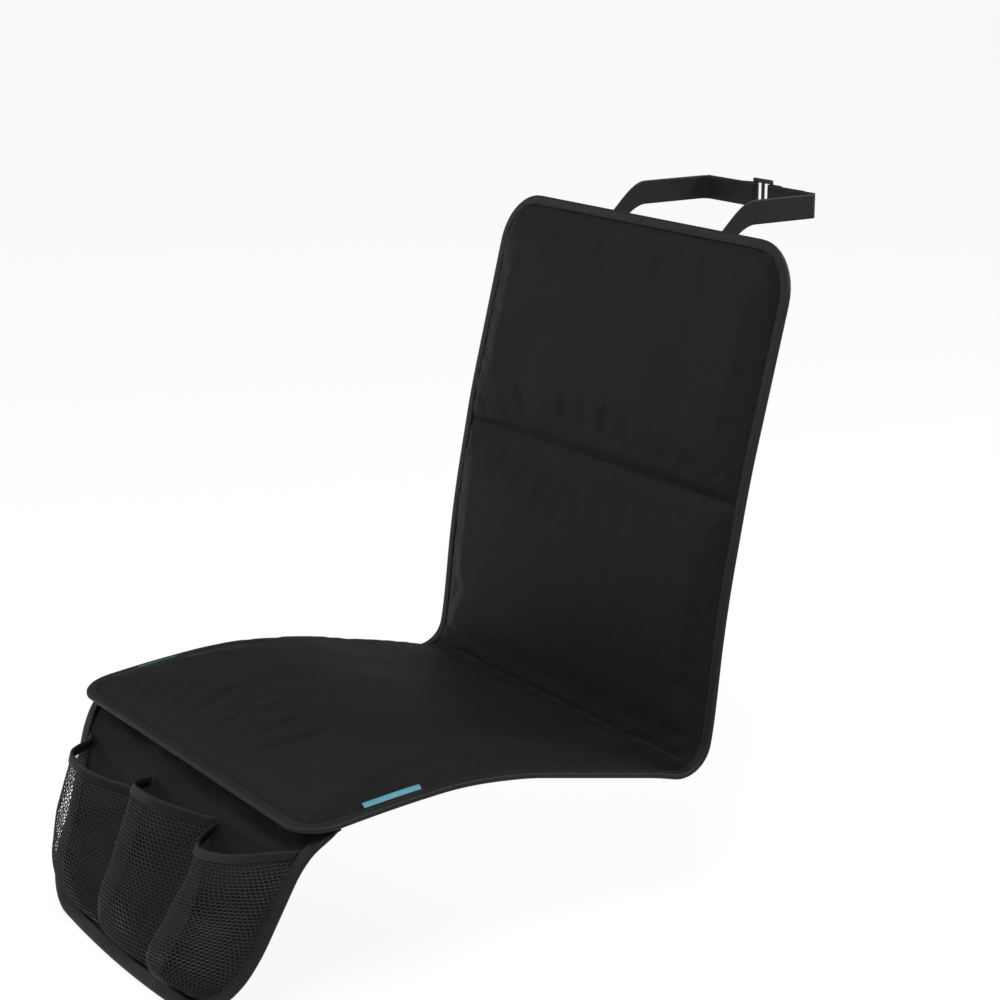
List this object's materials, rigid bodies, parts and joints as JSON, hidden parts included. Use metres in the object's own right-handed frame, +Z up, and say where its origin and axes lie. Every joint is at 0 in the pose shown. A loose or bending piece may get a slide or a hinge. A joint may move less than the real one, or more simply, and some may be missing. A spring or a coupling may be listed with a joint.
{
  "type": "car seat protector mat",
  "caption": "Padded black mat that lines a car seat's cushion and backrest, with a hanging front flap, net pockets and a headrest strap.",
  "frame": {"origin": "on the underside of the seat part, in the middle of its width, at the centre of the flat patch that rests on the cushion", "axes": "+Z up, +Y towards the rear of the vehicle, +X to the right of someone who faces the mat's front; the mat is posed as it lies on a seat"},
  "size_m": [0.483, 0.7923, 0.6972],
  "materials": {
    "black_oxford_cloth": "woven, matt",
    "grip_mesh": "non-slip mesh, matt",
    "foam": "foam, matt",
    "binding_tape": "woven tape, slight sheen",
    "net": "knitted net",
    "teal_strip": "woven tape, satin",
    "webbing": "woven webbing",
    "slider_plastic": "satin"
  },
  "bodies": {
    "root": {"face_cloth": "black_oxford_cloth", "seat_foam": "foam", "lower_back_foam": "foam", "upper_back_foam": "foam", "grip_backing": "grip_mesh", "mat_binding": "binding_tape", "flap_cloth": "black_oxford_cloth", "flap_binding": "binding_tape", "pocket_net_left": "net", "pocket_net_middle": "net", "pocket_net_right": "net", "pocket_hem_left": "binding_tape", "pocket_hem_middle": "binding_tape", "pocket_hem_right": "binding_tape", "accent_strip_left": "teal_strip", "accent_strip_right": "teal_strip", "headrest_strap_left": "webbing", "headrest_strap_right": "webbing", "strap_slider": "slider_plastic"}
  },
  "joints": []
}
